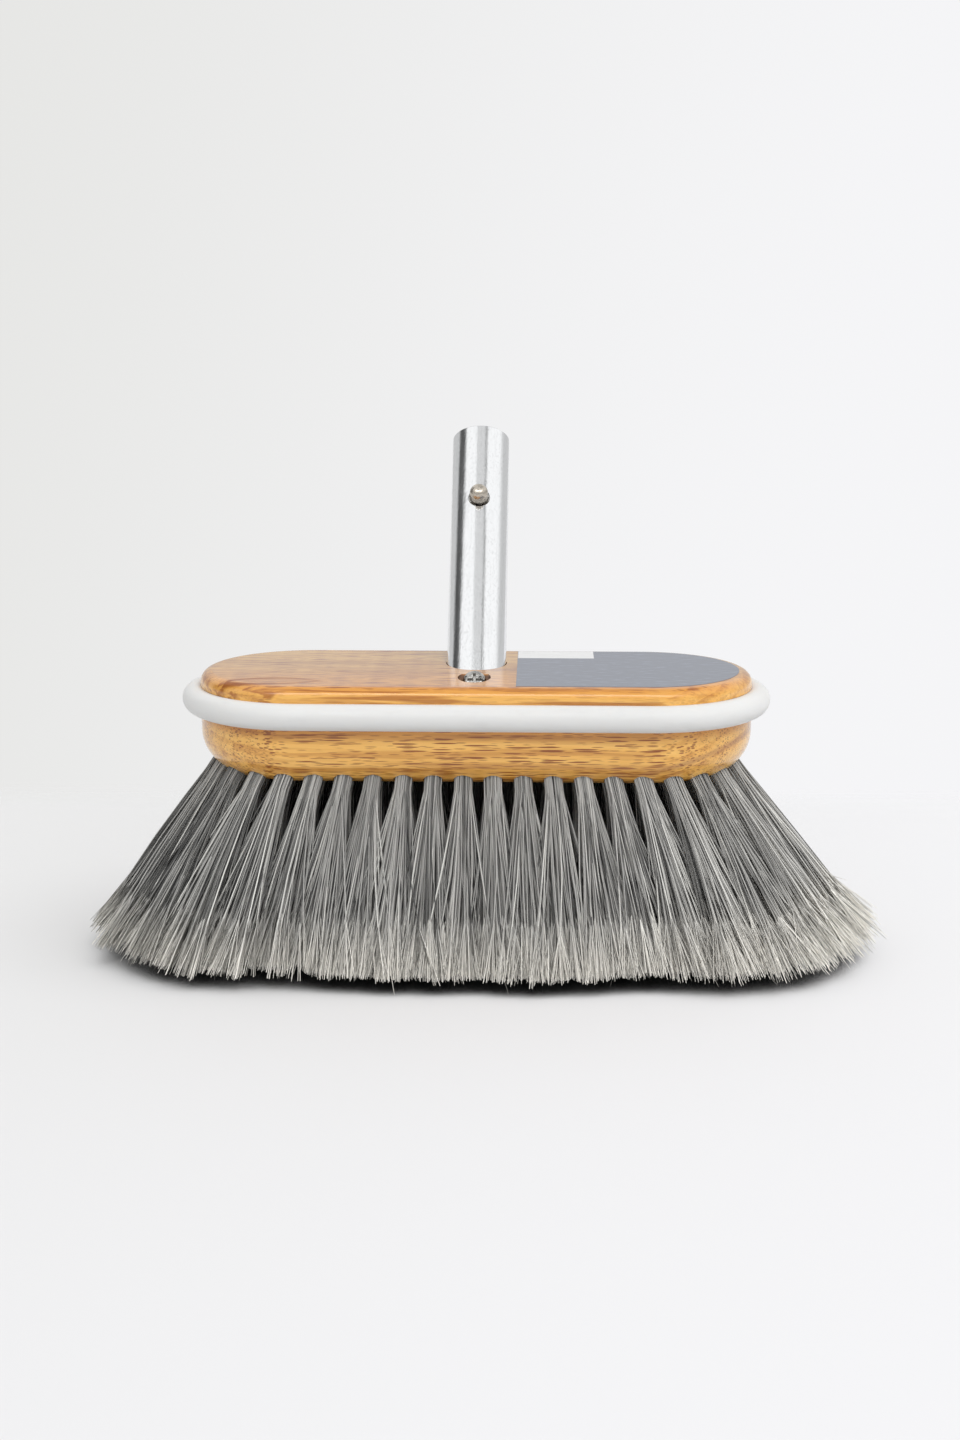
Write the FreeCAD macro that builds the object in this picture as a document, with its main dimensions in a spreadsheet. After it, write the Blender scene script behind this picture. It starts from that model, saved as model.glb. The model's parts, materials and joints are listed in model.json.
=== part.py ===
"""Soft deck scrub brush: a wooden block with a bumper, tufts of bristle and a tube that takes a pole.

Frame: +Z up, +X along the block, +Y to the side that the tube leans to. The origin is on the floor
under the block's centre, where the middle tufts stand.
"""
import FreeCAD, Part
import math
import os

import Sketcher
from FreeCAD import Placement, Rotation, Vector

# Driving dimensions: lengths in millimetres, angles in degrees, shares as plain ratios
SIZES = {
    # Wooden block, a bar with round ends
    "block_length": 234.0,
    "block_width": 90.0,
    "block_thickness": 42.5,
    "block_top_round": 5.0,
    "block_bottom_round": 17.5,
    "bristle_height": 79.5,
    # Round bumper cord in a groove round the block
    "bumper_radius": 5.5,
    "bumper_proud": 7.7,
    "bumper_drop": 11.7,
    "groove_clearance": 0.1,
    # Leaning tube, with a plain stretch at its free end that a pole slides over
    "tube_radius": 12.7,
    "tube_wall": 1.3,
    "tube_swell": 0.06,
    "tube_tilt": 37.5,
    "tube_reach": 113.0,
    "tube_floor_web": 2.9,
    "tube_entry_back": 12.0,
    "tube_chamfer": 0.5,
    "tube_clearance": 0.3,
    "pole_fit_gap": 5.0,
    # Snap button on a folded leaf spring inside the tube
    "button_radius": 4.0,
    "button_clearance": 0.8,
    "button_from_end": 37.6,
    "button_proud": 7.0,
    "button_dome_share": 0.875,
    "rivet_radius": 1.6,
    "rivet_head_radius": 2.6,
    "rivet_head_height": 0.8,
    "rivet_clearance": 0.1,
    "leaf_width": 9.0,
    "leaf_thickness": 0.7,
    "leaf_wall_gap": 0.25,
    "leaf_straight": 8.0,
    "leaf_length": 42.0,
    "leaf_fold_half_width": 3.0,
    # Screw that pins the tube, square to the tube's axis
    "screw_above_foot": 5.8,
    "screw_head_radius": 5.0,
    "screw_head_height": 3.2,
    "screw_dome_share": 0.8,
    "screw_shank_radius": 2.2,
    "screw_length": 17.0,
    "screw_point": 4.0,
    "screw_seat": 20.2,
    "screw_clearance": 0.15,
    "counterbore_clearance": 1.9,
    "recess_arm_length": 2.9,
    "recess_arm_half_width": 0.6,
    "recess_depth": 1.9,
    # Sticker on one half of the top
    "label_tube_gap": 4.5,
    "label_margin": 0.6,
    "label_thickness": 0.15,
    # Tufts, set in blind holes in concentric rows
    "tuft_radius": 3.9,
    "tuft_clearance": 0.1,
    "tuft_hole_depth": 11.5,
    "tuft_neck": 4.0,
    "tuft_pitch": 12.5,
    "tuft_gap": 0.8,
    "edge_hole_angle": 58.0,
    "fan_middle": 30.0,
    "fan_end": 50.6,
    "flare_side": 23.6,
    "side_tip_lift": 4.0,
    "end_tip_lift": 9.5,
    # Flat wire anchor across the bottom of each tuft hole
    "staple_height": 2.0,
    "staple_thickness": 0.6,
    "staple_gap": 0.05,
    # How far every cutting shape runs past the face that it cuts
    "cut_overrun": 5.0,
}

# Rows of tufts from the centre out, evenly spaced between the centre line and the outer row
ROWS = ("centre", "inner", "middle", "outer")
# The last row that stands on the floor
STANDING_ROW = "inner"
# How near an edge lies to a height, as a share of its own length, to count as being there
EDGE_MATCH_SHARE = 0.001
UP = Vector(0, 0, 1)
ACROSS = Vector(1, 0, 0)
ORIGIN = Vector(0, 0, 0)

doc = FreeCAD.newDocument("ScrubBrush")
sheet = doc.addObject("Spreadsheet::Sheet", "Sizes")
for row, (alias, value) in enumerate(SIZES.items(), start=1):
    sheet.set(f"A{row}", alias)
    sheet.set(f"B{row}", str(value))
    sheet.setAlias(f"B{row}", alias)
doc.recompute()


def size(alias):
    """A driving dimension, as the sheet holds it."""
    return float(getattr(sheet, alias))


def worked_out(formula):
    """The value of a formula of the sheet's cells."""
    return float(sheet.evalExpression(formula))


def cell(alias):
    """The name of a cell in a formula."""
    return f"Sizes.{alias}"


# Places that several pieces share
TOP_FORMULA = f"({cell('bristle_height')} + {cell('block_thickness')})"
SPINE_HALF_FORMULA = f"(({cell('block_length')} - {cell('block_width')}) / 2)"
END_RADIUS_FORMULA = f"({cell('block_width')} / 2)"
TUBE_HOLE_FORMULA = f"({cell('tube_radius')} + {cell('tube_swell')} + {cell('tube_clearance')})"
TUBE_FLOOR_FORMULA = f"({cell('block_thickness')} - {cell('tuft_hole_depth')} - {cell('tube_floor_web')})"
TUBE_LEAN_FORMULA = f"({TUBE_HOLE_FORMULA} * tan({cell('tube_tilt')} * 1 deg))"
TUBE_DEPTH_FORMULA = f"({TUBE_FLOOR_FORMULA} / cos({cell('tube_tilt')} * 1 deg) - {TUBE_LEAN_FORMULA})"
TUBE_LENGTH_FORMULA = f"({cell('tube_reach')} + {TUBE_DEPTH_FORMULA})"
BUTTON_HEIGHT_FORMULA = f"({TUBE_LENGTH_FORMULA} - {cell('button_from_end')})"
BUTTON_HOLE_FORMULA = f"({cell('button_radius')} + {cell('button_clearance')})"
SCREW_HOLE_FORMULA = f"({cell('screw_shank_radius')} + {cell('screw_clearance')})"
TUBE_INSIDE_FORMULA = f"({cell('tube_radius')} - {cell('tube_wall')})"
LEAF_REACH_FORMULA = f"sqrt({TUBE_INSIDE_FORMULA} ^ 2 - ({cell('leaf_width')} / 2) ^ 2)"
LEAF_FACE_FORMULA = f"({LEAF_REACH_FORMULA} - {cell('leaf_wall_gap')})"

top_height = worked_out(TOP_FORMULA)
spine_half = worked_out(SPINE_HALF_FORMULA)
end_radius = worked_out(END_RADIUS_FORMULA)
tilt = size("tube_tilt")
tube_axis = Vector(0, math.sin(math.radians(tilt)), math.cos(math.radians(tilt)))
tube_front = Vector(0, -math.cos(math.radians(tilt)), math.sin(math.radians(tilt)))
tube_entry = Vector(0, size("tube_entry_back"), top_height)
tube_foot = tube_entry - tube_axis * worked_out(TUBE_DEPTH_FORMULA)
along_tube = Rotation(UP, tube_axis)
out_of_front = Rotation(UP, tube_front)


def bind(thing, **formulas):
    """Ties properties of an object to formulas of the sheet."""
    for name, formula in formulas.items():
        thing.setExpression(name, formula)


def primitive(kind, label, place, **formulas):
    """A basic solid of which every size follows the sheet."""
    solid = doc.addObject(kind, label)
    bind(solid, **formulas)
    solid.Placement = place
    return solid


def joined(kind, label, pieces):
    """Several solids as one object, fused or side by side."""
    group = doc.addObject(kind, label)
    setattr(group, "Links" if kind == "Part::Compound" else "Shapes", pieces)
    return group


def cut(label, base, tool):
    """What is left of one object when another is taken out of it."""
    result = doc.addObject("Part::Cut", label)
    result.Base = base
    result.Tool = tool
    return result


def new_sketch(body, label, role):
    """An empty sketch on one of its body's origin planes."""
    planes = {feature.Role: feature for feature in body.Origin.OriginFeatures}
    sketch = body.newObject("Sketcher::SketchObject", label)
    sketch.AttachmentSupport = [(planes[role], "")]
    sketch.MapMode = "FlatFace"
    return sketch


def dimension(sketch, name, formula, kind, *places):
    """A named dimension of a sketch that follows a formula."""
    index = sketch.addConstraint(Sketcher.Constraint(kind, *places, worked_out(formula)))
    sketch.renameConstraint(index, name)
    sketch.setExpression(f"Constraints.{name}", formula)


def pin_point(sketch, name, geometry, end, across, along):
    """Holds a point of a sketch at a place given by two formulas; a zero lies on that axis."""
    for axis, kind, formula in ((-2, "DistanceX", across), (-1, "DistanceY", along)):
        if formula == "0":
            sketch.addConstraint(Sketcher.Constraint("PointOnObject", geometry, end, axis))
        else:
            dimension(sketch, f"{name}_{kind}", formula, kind, -1, 1, geometry, end)


def outline(sketch, points):
    """A closed outline of straight lines through points given as pairs of formulas."""
    places = [Vector(worked_out(across), worked_out(along), 0) for across, along in points]
    count = len(places)
    for index, place in enumerate(places):
        sketch.addGeometry(Part.LineSegment(place, places[(index + 1) % count]), False)
    for index in range(count):
        sketch.addConstraint(Sketcher.Constraint("Coincident", index, 2, (index + 1) % count, 1))
    for index, (across, along) in enumerate(points):
        pin_point(sketch, f"point{index}", index, 1, across, along)


def circle(sketch, name, across, along, radius):
    """A circle in a sketch, its centre and radius given as formulas."""
    centre = Vector(worked_out(across), worked_out(along), 0)
    index = sketch.addGeometry(Part.Circle(centre, UP, worked_out(radius)), False)
    dimension(sketch, f"{name}_radius", radius, "Radius", index)
    pin_point(sketch, f"{name}_centre", index, 3, across, along)


def round_end(sketch, name, centre, radius, turn):
    """A half circle on the sketch's X axis, turned to face along it."""
    whole = Part.Circle(Vector(worked_out(centre), 0, 0), UP, worked_out(radius))
    half = Part.ArcOfCircle(whole, turn - math.pi / 2, turn + math.pi / 2)
    index = sketch.addGeometry(half, False)
    dimension(sketch, f"{name}_radius", radius, "Radius", index)
    pin_point(sketch, f"{name}_centre", index, 3, centre, "0")
    return index


def straight(sketch, start, end):
    """A straight line between two places in a sketch."""
    return sketch.addGeometry(Part.LineSegment(Vector(*start, 0), Vector(*end, 0)), False)


def meet(sketch, kind, *pairs):
    """Joins the end of each first line or arc to the start of the second."""
    for first, second in pairs:
        sketch.addConstraint(Sketcher.Constraint(kind, first, 2, second, 1))


def feature(body, kind, label, profile, **formulas):
    """A feature of a body made from a sketch, its sizes tied to the sheet."""
    made = body.newObject(kind, label)
    made.Profile = profile
    bind(made, **formulas)
    return made


def revolved(body, label, profile):
    """A full turn of a sketch about the upright axis."""
    made = feature(body, "PartDesign::Revolution", label, profile)
    made.ReferenceAxis = (profile, ["V_Axis"])
    made.Angle = 360
    return made


def rounded(body, label, base, height, radius):
    """Rounds every edge of a feature that lies flat at one height."""
    doc.recompute()
    flat = [
        f"Edge{number}"
        for number, edge in enumerate(base.Shape.Edges, start=1)
        if max(edge.BoundBox.ZMax - height, height - edge.BoundBox.ZMin) < EDGE_MATCH_SHARE * edge.Length
    ]
    made = body.newObject("PartDesign::Fillet", label)
    made.Base = (base, flat)
    bind(made, Radius=radius)
    return made


def block_blank():
    """The block before it is bored: round ended, soft edged."""
    body = doc.addObject("PartDesign::Body", "BlockBlank")
    plan = new_sketch(body, "BlockPlan", "XY_Plane")
    right = round_end(plan, "right", SPINE_HALF_FORMULA, END_RADIUS_FORMULA, 0)
    left = round_end(plan, "left", f"-{SPINE_HALF_FORMULA}", END_RADIUS_FORMULA, math.pi)
    back = straight(plan, (spine_half, end_radius), (-spine_half, end_radius))
    front = straight(plan, (-spine_half, -end_radius), (spine_half, -end_radius))
    meet(plan, "Tangent", (right, back), (back, left), (left, front), (front, right))
    bar = feature(body, "PartDesign::Pad", "BlockBar", plan, Length=cell("block_thickness"))
    upper = rounded(body, "BlockTopRound", bar, size("block_thickness"), cell("block_top_round"))
    rounded(body, "BlockBottomRound", upper, 0, cell("block_bottom_round"))
    body.Placement = Placement(Vector(0, 0, size("bristle_height")), Rotation())
    return body


def bumper_cord(label, radius):
    """A round cord that follows the block's outline."""
    lane = f"{END_RADIUS_FORMULA} + {cell('bumper_proud')} - {cell('bumper_radius')}"
    height = top_height - size("bumper_drop")
    pieces = []
    for side, turn in (("Right", -90), ("Left", 90)):
        middle = Vector(spine_half if side == "Right" else -spine_half, 0, height)
        place = Placement(middle, Rotation(UP, turn))
        bend = primitive("Part::Torus", f"{label}{side}", place, Radius1=lane, Radius2=radius)
        bend.Angle3 = 180
        pieces.append(bend)
    for side, way in (("Back", 1), ("Front", -1)):
        start = Vector(-spine_half, way * worked_out(lane), height)
        pieces.append(
            primitive(
                "Part::Cylinder",
                f"{label}{side}",
                Placement(start, Rotation(UP, ACROSS)),
                Radius=radius,
                Height=f"2 * {SPINE_HALF_FORMULA}",
            )
        )
    return joined("Part::MultiFuse", label, pieces)


def tube_bore():
    """The leaning hole that the tube stands in."""
    return primitive(
        "Part::Cylinder",
        "TubeBore",
        Placement(tube_foot, along_tube),
        Radius=TUBE_HOLE_FORMULA,
        Height=f"{TUBE_DEPTH_FORMULA} + {TUBE_LEAN_FORMULA} + {cell('cut_overrun')}",
    )


def screw_place():
    """Where the screw's seat is, with its head outwards."""
    crossing = tube_foot + tube_axis * size("screw_above_foot")
    return Placement(crossing + tube_front * size("screw_seat"), out_of_front)


def screw_bore():
    """The counterbored hole that the screw is sunk in."""
    seat = screw_place()
    sink = primitive(
        "Part::Cylinder",
        "ScrewSink",
        seat,
        Radius=f"{cell('screw_head_radius')} + {cell('counterbore_clearance')}",
        Height=f"{cell('screw_seat')} + {cell('cut_overrun')}",
    )
    run = f"{cell('screw_seat')} - {cell('tube_radius')} + {cell('cut_overrun')}"
    pilot = primitive(
        "Part::Cylinder",
        "ScrewPilot",
        Placement(seat.Base - tube_front * worked_out(run), out_of_front),
        Radius=SCREW_HOLE_FORMULA,
        Height=f"{run} + {cell('cut_overrun')}",
    )
    return joined("Part::MultiFuse", "ScrewBore", [sink, pilot])


def handle_tube():
    """The tube, with holes in its front wall for the button and the screw."""
    body = doc.addObject("PartDesign::Body", "handle_tube")
    wall = new_sketch(body, "TubeWall", "XZ_Plane")
    outer = cell("tube_radius")
    swollen = f"{outer} + {cell('tube_swell')}"
    chamfer = cell("tube_chamfer")
    plain_start = f"{BUTTON_HEIGHT_FORMULA} + {BUTTON_HOLE_FORMULA} + {cell('pole_fit_gap')}"
    outline(
        wall,
        [
            (TUBE_INSIDE_FORMULA, "0"),
            (swollen, "0"),
            (outer, plain_start),
            (outer, f"{TUBE_LENGTH_FORMULA} - {chamfer}"),
            (f"{outer} - {chamfer}", TUBE_LENGTH_FORMULA),
            (TUBE_INSIDE_FORMULA, TUBE_LENGTH_FORMULA),
        ],
    )
    revolved(body, "TubeBarrel", wall)
    holes = new_sketch(body, "TubeHoles", "XZ_Plane")
    circle(holes, "button", "0", BUTTON_HEIGHT_FORMULA, BUTTON_HOLE_FORMULA)
    circle(holes, "screw", "0", cell("screw_above_foot"), SCREW_HOLE_FORMULA)
    through = feature(
        body, "PartDesign::Pocket", "TubeFrontHoles", holes, Length=f"{swollen} + {cell('cut_overrun')}"
    )
    through.Reversed = True
    body.Placement = Placement(tube_foot, along_tube)
    return body


def snap_button():
    """The sprung button, riveted to the leaf behind it."""
    body = doc.addObject("PartDesign::Body", "snap_button")
    section = new_sketch(body, "ButtonSection", "XZ_Plane")
    height = f"{cell('tube_radius')} + {cell('button_proud')} - {LEAF_FACE_FORMULA}"
    behind = f"-{cell('leaf_thickness')}"
    lowest = f"{behind} - {cell('rivet_head_height')}"
    outline(
        section,
        [
            ("0", lowest),
            (cell("rivet_head_radius"), lowest),
            (cell("rivet_head_radius"), behind),
            (cell("rivet_radius"), behind),
            (cell("rivet_radius"), "0"),
            (cell("button_radius"), "0"),
            (cell("button_radius"), height),
            ("0", height),
        ],
    )
    stem = revolved(body, "ButtonStem", section)
    dome = f"{cell('button_radius')} * {cell('button_dome_share')}"
    rounded(body, "ButtonDome", stem, worked_out(height), dome)
    middle = tube_foot + tube_axis * worked_out(BUTTON_HEIGHT_FORMULA)
    body.Placement = Placement(middle + tube_front * worked_out(LEAF_FACE_FORMULA), out_of_front)
    return body


def snap_spring():
    """The folded leaf that pushes the button out, braced against the tube's back wall."""
    body = doc.addObject("PartDesign::Body", "snap_spring")
    strip = new_sketch(body, "LeafStrip", "YZ_Plane")
    thick = cell("leaf_thickness")
    fold = cell("leaf_fold_half_width")
    ends = f"{BUTTON_HEIGHT_FORMULA} + {cell('leaf_straight')}"
    bends = f"{BUTTON_HEIGHT_FORMULA} - {cell('leaf_straight')}"
    floor = f"{ends} - {cell('leaf_length')}"
    leg = [(LEAF_FACE_FORMULA, ends), (LEAF_FACE_FORMULA, bends), (fold, floor)]
    inside = [
        (f"{fold} - {thick}", f"{floor} + {thick}"),
        (f"{LEAF_FACE_FORMULA} - {thick}", bends),
        (f"{LEAF_FACE_FORMULA} - {thick}", ends),
    ]
    front = [(f"-({across})", along) for across, along in leg]
    front_inside = [(f"-({across})", along) for across, along in inside]
    outline(strip, front + leg[::-1] + inside[::-1] + front_inside)
    blade = feature(body, "PartDesign::Pad", "LeafBlade", strip, Length=cell("leaf_width"))
    blade.SideType = "Symmetric"
    hole = new_sketch(body, "LeafHole", "XZ_Plane")
    circle(hole, "rivet", "0", BUTTON_HEIGHT_FORMULA, f"{cell('rivet_radius')} + {cell('rivet_clearance')}")
    through = feature(body, "PartDesign::Pocket", "LeafRivetHole", hole, Length=cell("tube_radius"))
    through.Reversed = True
    body.Placement = Placement(tube_foot, along_tube)
    return body


def tube_screw():
    """The pan-head screw that pins the tube in the block, with a cross recess."""
    body = doc.addObject("PartDesign::Body", "tube_screw")
    section = new_sketch(body, "ScrewSection", "XZ_Plane")
    shank = cell("screw_shank_radius")
    head = cell("screw_head_radius")
    outline(
        section,
        [
            ("0", f"-{cell('screw_length')}"),
            (shank, f"{cell('screw_point')} - {cell('screw_length')}"),
            (shank, "0"),
            (head, "0"),
            (head, cell("screw_head_height")),
            ("0", cell("screw_head_height")),
        ],
    )
    turned = revolved(body, "ScrewTurned", section)
    dome = f"{cell('screw_head_height')} * {cell('screw_dome_share')}"
    rounded(body, "ScrewDome", turned, size("screw_head_height"), dome)
    cross = new_sketch(body, "ScrewCross", "XY_Plane")
    bind(cross, **{".AttachmentOffset.Base.z": cell("screw_head_height")})
    far = cell("recess_arm_length")
    near = cell("recess_arm_half_width")
    quarter = [(far, near), (near, near), (near, far)]
    upper = quarter + [(f"-{across}", along) for across, along in quarter[::-1]]
    outline(cross, upper + [(f"-({across})", f"-{along}") for across, along in upper])
    feature(body, "PartDesign::Pocket", "ScrewRecess", cross, Length=cell("recess_depth"))
    body.Placement = screw_place()
    return body


def label_sticker():
    """The thin sticker on one half of the block's top, round at the block's end."""
    body = doc.addObject("PartDesign::Body", "label_sticker")
    plan = new_sketch(body, "LabelPlan", "XY_Plane")
    radius = f"{END_RADIUS_FORMULA} - {cell('block_top_round')} - {cell('label_margin')}"
    edge = f"{TUBE_HOLE_FORMULA} + {cell('label_tube_gap')}"
    reach = worked_out(radius)
    start = worked_out(edge)
    bend = round_end(plan, "end", SPINE_HALF_FORMULA, radius, 0)
    back = straight(plan, (spine_half, reach), (start, reach))
    side = straight(plan, (start, reach), (start, -reach))
    front = straight(plan, (start, -reach), (spine_half, -reach))
    meet(plan, "Tangent", (bend, back), (front, bend))
    meet(plan, "Coincident", (back, side), (side, front))
    for line in (back, front):
        plan.addConstraint(Sketcher.Constraint("Horizontal", line))
    plan.addConstraint(Sketcher.Constraint("Vertical", side))
    dimension(plan, "start", edge, "DistanceX", -1, 1, side, 1)
    feature(body, "PartDesign::Pad", "LabelFilm", plan, Length=cell("label_thickness"))
    body.Placement = Placement(Vector(0, 0, top_height), Rotation())
    return body


def row_share(row):
    """How far out a row is, as a share of the outer row's distance from the centre line."""
    return ROWS.index(row) / (len(ROWS) - 1)


def outer_row_distance():
    """How far the outer row's holes are from the block's centre line, on its rounded lower edge."""
    bend = size("block_bottom_round")
    return end_radius - bend + bend * math.cos(math.radians(size("edge_hole_angle")))


def underside_height(distance):
    """The height of the block's underside at a distance from its centre line."""
    bend = size("block_bottom_round")
    past = max(distance - (end_radius - bend), 0)
    return size("bristle_height") + bend - math.sqrt(bend**2 - past**2)


def row_places(distance):
    """Evenly spaced places along a row that runs round the centre line, as X and Y."""
    if distance == 0:
        steps = 2 * round(spine_half / size("tuft_pitch"))
        return [(spine_half * (2 * index / steps - 1), 0.0) for index in range(steps + 1)]
    side = 2 * spine_half
    bend = math.pi * distance
    count = 2 * round((side + bend) / size("tuft_pitch"))
    half = []
    for index in range(count // 2):
        run = (index + 1 / 2) * 2 * (side + bend) / count
        if run < side:
            half.append((run - spine_half, -distance))
        else:
            turn = (run - side) / distance - math.pi / 2
            half.append((spine_half + distance * math.cos(turn), distance * math.sin(turn)))
    return half + [(-x, -y) for x, y in half]


def tip_place(x, y, row):
    """The middle of a tuft's tip: fanned out along the block and to its sides, lifted at the edges."""
    outer = outer_row_distance()
    along_share = x / (spine_half + outer)
    fan = size("fan_middle") * along_share + (size("fan_end") - size("fan_middle")) * along_share**3
    end_share = max(abs(x) - spine_half, 0) / outer
    lift = size("side_tip_lift") + (size("end_tip_lift") - size("side_tip_lift")) * min(end_share, 1)
    standing_share = row_share(STANDING_ROW)
    lift_share = max(row_share(row) - standing_share, 0) / (1 - standing_share)
    return Vector(x + fan, y + size("flare_side") * y / outer, lift * lift_share)


def all_tufts():
    """Every tuft as its row, its root on the underside and the middle of its tip."""
    tufts = []
    for row in ROWS:
        distance = row_share(row) * outer_row_distance()
        for x, y in row_places(distance):
            root = Vector(x, y, underside_height(distance))
            tufts.append((row, root, tip_place(x, y, row)))
    return tufts


def tip_radius(tip, tips):
    """Half the way to the nearest other tip, less half the gap between tufts."""
    nearest = min(tip.distanceToPoint(other) for other in tips if other is not tip)
    return (nearest - size("tuft_gap")) / 2


def tuft_solid(root, tip, spread):
    """One tuft: a bundle that fills its hole and opens out from a short neck to its level tip."""
    upward = (root - tip).normalize()
    thin = size("tuft_radius")
    neck = root - upward * size("tuft_neck")
    buried = size("tuft_hole_depth") - size("staple_height") - 2 * size("staple_gap")
    shank = Part.makeCylinder(thin, buried + size("tuft_neck"), neck, upward)
    drop = neck.distanceToPoint(tip)
    wide = spread * upward.z
    past = spread + size("cut_overrun")
    skirt = Part.makeCone(thin, wide + (wide - thin) * past / drop, drop + past, neck, -upward)
    reach = 2 * (spread + past)
    below = Part.makeBox(reach, reach, reach, tip - Vector(reach / 2, reach / 2, reach))
    return shank.fuse(skirt.cut(below)).removeSplitter()


def staple_solid(root, tip):
    """The flat anchor wire at the bottom of a tuft's hole, as wide as the hole."""
    upward = (root - tip).normalize()
    width = 2 * (size("tuft_radius") + size("tuft_clearance")) - 2 * size("staple_gap")
    thickness = size("staple_thickness")
    solid = Part.makeBox(width, thickness, size("staple_height"), Vector(-width / 2, -thickness / 2, 0))
    depth = size("tuft_hole_depth") - size("staple_height") - size("staple_gap")
    solid.Placement = Placement(root + upward * depth, Rotation(UP, upward))
    return solid


def tuft_holes(tufts):
    """The blind holes that the tufts are set in."""
    overrun = f"{cell('tuft_radius')} + {cell('cut_overrun')}"
    holes = []
    for _, root, tip in tufts:
        upward = (root - tip).normalize()
        holes.append(
            primitive(
                "Part::Cylinder",
                "TuftHole",
                Placement(root - upward * worked_out(overrun), Rotation(UP, upward)),
                Radius=f"{cell('tuft_radius')} + {cell('tuft_clearance')}",
                Height=f"{cell('tuft_hole_depth')} + {overrun}",
            )
        )
    return joined("Part::Compound", "TuftHoles", holes)


def side_name(row, root):
    """The side of the block that a tuft belongs to."""
    if row == "centre":
        return row
    if abs(root.x) > spine_half:
        return f"{row}_right" if root.x > 0 else f"{row}_left"
    return f"{row}_back" if root.y > 0 else f"{row}_front"


def grouped(label, solids):
    """Like solids side by side in one piece."""
    group = doc.addObject("Part::Feature", label)
    group.Shape = Part.makeCompound(solids)
    group.Placement = Placement(ORIGIN, Rotation())
    return group


def bristles(tufts):
    """The tufts by row and side, and their staples by row."""
    tips = [tip for _, _, tip in tufts]
    groups = {}
    for row, root, tip in tufts:
        tuft = tuft_solid(root, tip, tip_radius(tip, tips))
        groups.setdefault(f"{side_name(row, root)}_tufts", []).append(tuft)
        groups.setdefault(f"{row}_staples", []).append(staple_solid(root, tip))
    return [grouped(label, solids) for label, solids in groups.items()]


def brush_block(tufts):
    """The finished block: grooved, bored for the tube and its screw, and drilled for the tufts."""
    clear = f"{cell('bumper_radius')} + {cell('groove_clearance')}"
    grooved = cut("BlockGrooved", block_blank(), bumper_cord("BumperGroove", clear))
    bored = cut("BlockBored", grooved, tube_bore())
    pinned = cut("BlockPinned", bored, screw_bore())
    return cut("brush_block", pinned, tuft_holes(tufts))


def write_parts(pieces):
    """Checks every object, then writes each piece to its own file."""
    doc.recompute()
    for thing in doc.Objects:
        if "Invalid" in thing.State or "Error" in thing.State:
            raise RuntimeError(f"{thing.Label} failed: {thing.State}")
    for piece in pieces:
        if piece.Shape.isNull() or not piece.Shape.isValid():
            raise RuntimeError(f"{piece.Label} has no valid shape")
    os.makedirs("parts", exist_ok=True)
    for piece in pieces:
        piece.Shape.exportStep(f"parts/{piece.Label}.step")
        print(f"{piece.Label}: {len(piece.Shape.Solids)} solids, {piece.Shape.Volume:.1f} mm3")


def main():
    """Builds the brush and writes its pieces."""
    tufts = all_tufts()
    pieces = [
        brush_block(tufts),
        bumper_cord("bumper_ring", cell("bumper_radius")),
        handle_tube(),
        snap_button(),
        snap_spring(),
        tube_screw(),
        label_sticker(),
    ]
    write_parts(pieces + bristles(tufts))


main()
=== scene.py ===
"""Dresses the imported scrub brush: finishes for its solids, bristles for its tufts, and a studio."""
import json
import math
from collections import namedtuple

import bmesh
import bpy
import numpy as np
from bpy.props import FloatProperty, FloatVectorProperty, IntProperty, PointerProperty
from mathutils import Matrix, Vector


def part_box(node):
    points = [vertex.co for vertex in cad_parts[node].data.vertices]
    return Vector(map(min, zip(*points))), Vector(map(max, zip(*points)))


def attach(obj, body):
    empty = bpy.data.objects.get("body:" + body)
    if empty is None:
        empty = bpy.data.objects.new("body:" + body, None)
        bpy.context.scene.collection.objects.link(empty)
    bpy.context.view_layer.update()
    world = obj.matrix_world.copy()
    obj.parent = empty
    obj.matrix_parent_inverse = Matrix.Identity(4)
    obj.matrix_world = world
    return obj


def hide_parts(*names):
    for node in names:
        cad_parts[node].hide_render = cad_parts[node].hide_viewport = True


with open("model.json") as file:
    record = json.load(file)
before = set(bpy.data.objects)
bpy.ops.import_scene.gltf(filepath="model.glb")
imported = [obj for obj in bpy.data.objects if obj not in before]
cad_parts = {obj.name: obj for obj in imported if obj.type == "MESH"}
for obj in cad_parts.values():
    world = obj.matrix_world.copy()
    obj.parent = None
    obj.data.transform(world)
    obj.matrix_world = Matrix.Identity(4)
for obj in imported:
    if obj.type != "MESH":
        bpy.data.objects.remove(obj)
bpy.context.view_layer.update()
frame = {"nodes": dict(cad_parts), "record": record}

bl_info = {
    "name": "Scrub brush",
    "version": (1, 0, 0),
    "blender": (4, 5, 0),
    "location": "View3D > Sidebar > Scrub brush",
    "description": "Finishes, bristles and a studio for the packed scrub brush",
    "category": "Object",
}

# The map that the bristles' colours follow: across it the filament's shade, up it the way to the tip
STRAND_MAP = "OFBake"
TUFT_NODES = sorted(name for name in frame["nodes"] if name.endswith("_tufts"))
STAPLE_NODES = sorted(name for name in frame["nodes"] if name.endswith("_staples"))
BLOCK_LOW, BLOCK_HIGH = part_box("brush_block")
LABEL_LOW, LABEL_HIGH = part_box("label_sticker")
BUMPER_LOW, BUMPER_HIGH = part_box("bumper_ring")
BRISTLE_HALF_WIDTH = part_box("outer_front_tufts")[0].y
SCREW_MIDDLE = tuple((low + high) / 2 for low, high in zip(*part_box("tube_screw")))
TUBE_TILT = math.atan2(frame["record"]["mounts"][0]["axis"][1], frame["record"]["mounts"][0]["axis"][2])


def colour(name, description, default):
    """A colour that a user may change."""
    return FloatVectorProperty(
        name=name, description=description, default=default, subtype="COLOR", size=3, min=0.0, max=1.0
    )


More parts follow.
